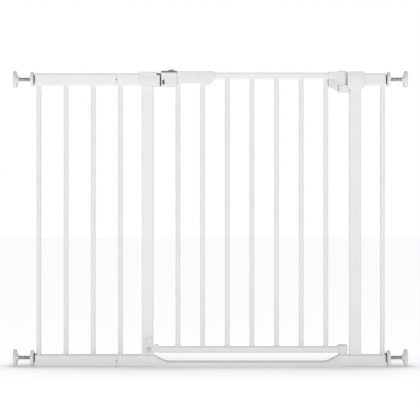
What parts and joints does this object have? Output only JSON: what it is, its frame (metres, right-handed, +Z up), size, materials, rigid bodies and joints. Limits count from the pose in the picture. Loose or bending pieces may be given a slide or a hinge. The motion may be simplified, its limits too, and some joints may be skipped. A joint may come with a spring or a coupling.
{
  "type": "safety baby gate",
  "caption": "White barred steel safety gate for a doorway: swinging door with lift-and-slide lock, low threshold, side extension and threaded wall pads.",
  "frame": {"origin": "on the floor, midway between the two wall planes and midway through the frame's depth", "axes": "+X towards the hinge side, +Y through the doorway away from the lever side, +Z up"},
  "size_m": [1.03, 0.044, 0.7773],
  "materials": {
    "white_coat": "white powder coat, semi-gloss with a faint orange peel",
    "white_plastic": "moulded white plastic, satin",
    "grey_plastic": "moulded grey plastic, matt",
    "dark_plastic": "moulded dark grey plastic",
    "green_window": "dark green gloss window",
    "zinc_steel": "bright zinc plating",
    "spring_steel": "drawn spring wire",
    "bush_plastic": "natural acetal",
    "pad_rubber": "pale grey soft rubber"
  },
  "bodies": {
    "frame": {"left_upright": "white_coat", "right_upright": "white_coat", "top_rail_left": "white_coat", "top_rail_right": "white_coat", "bottom_rail_left": "white_coat", "bottom_rail_right": "white_coat", "threshold": "white_coat", "outer_bar_left": "white_coat", "outer_bar_right": "white_coat", "extension_top_rail": "white_coat", "extension_bottom_rail": "white_coat", "extension_bars": "white_coat", "lower_hinge_boss": "white_coat", "lock_housing_front": "white_plastic", "lock_housing_back": "white_plastic", "upper_hinge_bracket": "white_plastic", "extension_connectors": "white_plastic", "rail_end_plugs": "dark_plastic", "lock_keeper": "zinc_steel", "upper_hinge_pin": "zinc_steel", "lower_hinge_pin": "zinc_steel", "stop_screw": "zinc_steel", "housing_screws": "zinc_steel"},
    "hinge_bush": {"hinge_bushes": "bush_plastic"},
    "door": {"door_top_rail": "white_coat", "door_bottom_rail": "white_coat", "door_hinge_arm": "white_plastic", "door_hinge_foot": "white_plastic", "door_end_cap": "white_plastic", "latch_shell_front": "white_plastic", "latch_shell_back": "white_plastic", "lock_window": "green_window", "handle_cover": "white_plastic", "bolt_spring": "spring_steel", "door_bar_1": "white_coat", "door_bar_2": "white_coat", "door_bar_3": "white_coat", "door_bar_4": "white_coat", "door_bar_5": "white_coat", "door_bar_6": "white_coat", "door_bar_7": "white_coat"},
    "lock": {"lock_bolt": "zinc_steel", "lock_slider": "grey_plastic"},
    "stop": {"stop_lever": "white_plastic"},
    "wheel_top_left": {"handwheel_top_left": "white_plastic"},
    "spindle_top_left": {"spindle_top_left": "zinc_steel"},
    "pad_top_left": {"wall_pad_top_left": "white_plastic", "pad_rubber_top_left": "pad_rubber"},
    "wheel_bottom_left": {"handwheel_bottom_left": "white_plastic"},
    "spindle_bottom_left": {"spindle_bottom_left": "zinc_steel"},
    "pad_bottom_left": {"wall_pad_bottom_left": "white_plastic", "pad_rubber_bottom_left": "pad_rubber"},
    "wheel_top_right": {"handwheel_top_right": "white_plastic"},
    "spindle_top_right": {"spindle_top_right": "zinc_steel"},
    "pad_top_right": {"wall_pad_top_right": "white_plastic", "pad_rubber_top_right": "pad_rubber"},
    "wheel_bottom_right": {"handwheel_bottom_right": "white_plastic"},
    "spindle_bottom_right": {"spindle_bottom_right": "zinc_steel"},
    "pad_bottom_right": {"wall_pad_bottom_right": "white_plastic", "pad_rubber_bottom_right": "pad_rubber"}
  },
  "joints": [
    {"name": "door_lift", "type": "slide", "parent": "frame", "child": "hinge_bush", "axis": [0, 0, 1], "range_m": [0, 0.01]},
    {"name": "door_swing", "type": "hinge", "parent": "hinge_bush", "child": "door", "pos_m": [0.3458, 0, 0.4], "axis": [0, 0, 1], "range_deg": [-90, 90]},
    {"name": "lock_slide", "type": "slide", "parent": "door", "child": "lock", "axis": [-1, 0, 0], "range_m": [0, 0.01], "deforming": ["bolt_spring"]},
    {"name": "stop_turn", "type": "hinge", "parent": "frame", "child": "stop", "pos_m": [-0.16, -0.013, 0.045], "axis": [0, 1, 0], "range_deg": [0, 90]},
    {"name": "wheel_turn_top_left", "type": "hinge", "parent": "frame", "child": "wheel_top_left", "pos_m": [-0.467, 0, 0.75175], "axis": [1, 0, 0], "range_deg": [-2180, 2180]},
    {"name": "spindle_travel_top_left", "type": "slide", "parent": "frame", "child": "spindle_top_left", "axis": [-1, 0, 0], "range_m": [-0.009, 0.009]},
    {"name": "pad_turn_top_left", "type": "hinge", "parent": "spindle_top_left", "child": "pad_top_left", "pos_m": [-0.507, 0, 0.75175], "axis": [-1, 0, 0], "continuous": true},
    {"name": "wheel_turn_bottom_left", "type": "hinge", "parent": "frame", "child": "wheel_bottom_left", "pos_m": [-0.467, 0, 0.0224], "axis": [1, 0, 0], "range_deg": [-2180, 2180]},
    {"name": "spindle_travel_bottom_left", "type": "slide", "parent": "frame", "child": "spindle_bottom_left", "axis": [-1, 0, 0], "range_m": [-0.009, 0.009]},
    {"name": "pad_turn_bottom_left", "type": "hinge", "parent": "spindle_bottom_left", "child": "pad_bottom_left", "pos_m": [-0.507, 0, 0.0224], "axis": [-1, 0, 0], "continuous": true},
    {"name": "wheel_turn_top_right", "type": "hinge", "parent": "frame", "child": "wheel_top_right", "pos_m": [0.467, 0, 0.75175], "axis": [-1, 0, 0], "range_deg": [-2180, 2180]},
    {"name": "spindle_travel_top_right", "type": "slide", "parent": "frame", "child": "spindle_top_right", "axis": [1, 0, 0], "range_m": [-0.009, 0.009]},
    {"name": "pad_turn_top_right", "type": "hinge", "parent": "spindle_top_right", "child": "pad_top_right", "pos_m": [0.507, 0, 0.75175], "axis": [1, 0, 0], "continuous": true},
    {"name": "wheel_turn_bottom_right", "type": "hinge", "parent": "frame", "child": "wheel_bottom_right", "pos_m": [0.467, 0, 0.0224], "axis": [-1, 0, 0], "range_deg": [-2180, 2180]},
    {"name": "spindle_travel_bottom_right", "type": "slide", "parent": "frame", "child": "spindle_bottom_right", "axis": [1, 0, 0], "range_m": [-0.009, 0.009]},
    {"name": "pad_turn_bottom_right", "type": "hinge", "parent": "spindle_bottom_right", "child": "pad_bottom_right", "pos_m": [0.507, 0, 0.0224], "axis": [1, 0, 0], "continuous": true}
  ],
  "couplings": [
    {"joint": "wheel_turn_top_left", "follows": "spindle_travel_top_left", "rad_per_m": 4188.8},
    {"joint": "wheel_turn_bottom_left", "follows": "spindle_travel_bottom_left", "rad_per_m": 4188.8},
    {"joint": "wheel_turn_top_right", "follows": "spindle_travel_top_right", "rad_per_m": 4188.8},
    {"joint": "wheel_turn_bottom_right", "follows": "spindle_travel_bottom_right", "rad_per_m": 4188.8}
  ]
}
